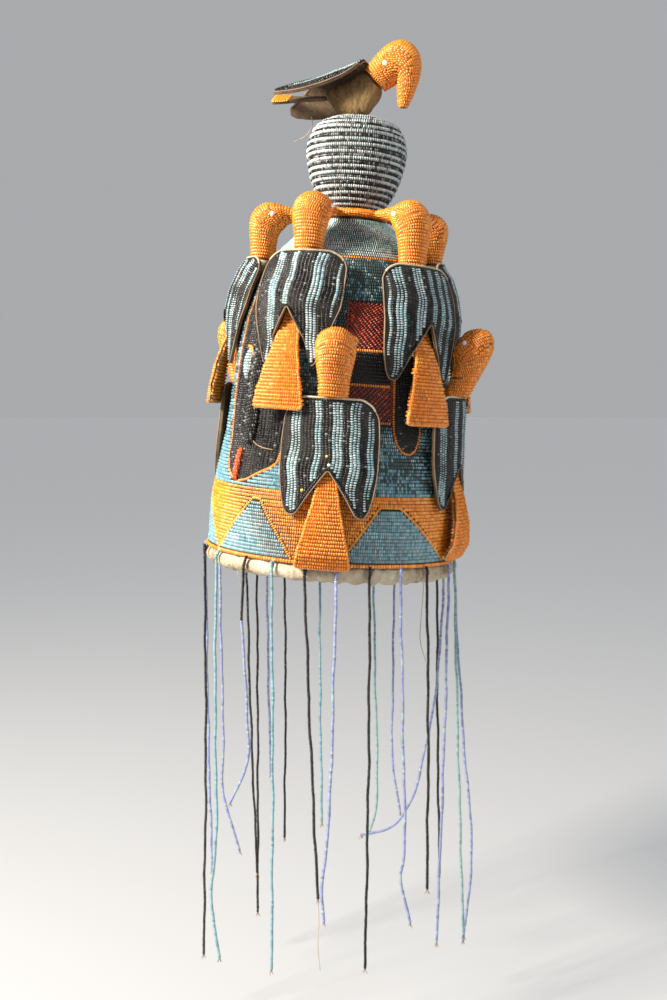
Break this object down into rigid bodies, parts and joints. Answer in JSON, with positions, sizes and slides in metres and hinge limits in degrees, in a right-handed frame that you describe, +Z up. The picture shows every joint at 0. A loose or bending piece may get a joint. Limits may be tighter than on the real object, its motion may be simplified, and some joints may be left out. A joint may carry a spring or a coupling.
{
  "type": "beaded crown",
  "caption": "Tall hollow cone crown covered in seed beads, with a padded rim roll, a banded knob, stuffed beaded birds and a veil of hanging bead strings",
  "frame": {"origin": "centre of the opening of the rim roll, on the roll's middle plane, where the head goes in", "axes": "+Z up along the hanging strings; the stylised face looks along -Y; the cone leans a few degrees towards the side between +X and +Y"},
  "size_m": [0.2689, 0.2711, 0.8682],
  "materials": {
    "beads_orange": "orange glass seed beads in rows",
    "beads_blue": "pale blue and turquoise glass seed beads in rows, with orange, red and black areas",
    "beads_black": "black glass seed beads",
    "beads_red": "red glass seed beads",
    "beads_pale": "pale glass seed beads in bands with black",
    "beads_lavender": "strings of seed beads, each string in one colour",
    "cloth_cream": "aged cream cotton, padded and stitched"
  },
  "bodies": {
    "root": {"beaded_cone": "beads_blue", "rim_roll": "cloth_cream", "top_collar": "beads_orange", "knob": "beads_pale", "nose_ridge": "beads_black", "eye_left": "beads_blue", "eye_right": "beads_blue", "mouth": "beads_red", "bird_upper_1_head": "beads_orange", "bird_upper_1_body": "cloth_cream", "bird_upper_1_wings": "beads_blue", "bird_upper_1_tail": "beads_orange", "bird_upper_2_head": "beads_orange", "bird_upper_2_body": "cloth_cream", "bird_upper_2_wings": "beads_blue", "bird_upper_2_tail": "beads_orange", "bird_upper_3_head": "beads_orange", "bird_upper_3_body": "cloth_cream", "bird_upper_3_wings": "beads_blue", "bird_upper_3_tail": "beads_orange", "bird_upper_4_head": "beads_orange", "bird_upper_4_body": "cloth_cream", "bird_upper_4_wings": "beads_blue", "bird_upper_4_tail": "beads_orange", "bird_upper_5_head": "beads_orange", "bird_upper_5_body": "cloth_cream", "bird_upper_5_wings": "beads_blue", "bird_upper_5_tail": "beads_orange", "bird_lower_1_head": "beads_orange", "bird_lower_1_body": "cloth_cream", "bird_lower_1_wings": "beads_blue", "bird_lower_1_tail": "beads_orange", "bird_lower_2_head": "beads_orange", "bird_lower_2_body": "cloth_cream", "bird_lower_2_wings": "beads_blue", "bird_lower_2_tail": "beads_orange", "bird_lower_3_head": "beads_orange", "bird_lower_3_body": "cloth_cream", "bird_lower_3_wings": "beads_blue", "bird_lower_3_tail": "beads_orange", "bird_lower_4_head": "beads_orange", "bird_lower_4_body": "cloth_cream", "bird_lower_4_wings": "beads_blue", "bird_lower_4_tail": "beads_orange", "bird_top_head": "beads_orange", "bird_top_body": "cloth_cream", "bird_top_wings": "beads_blue", "bird_top_tail": "beads_orange", "veil_strings_1": "beads_lavender", "veil_strings_2": "beads_lavender", "veil_strings_3": "beads_lavender", "veil_strings_4": "beads_lavender", "veil_strings_5": "beads_lavender", "veil_strings_6": "beads_lavender", "veil_strings_7": "beads_lavender", "veil_strings_8": "beads_lavender"}
  },
  "joints": []
}
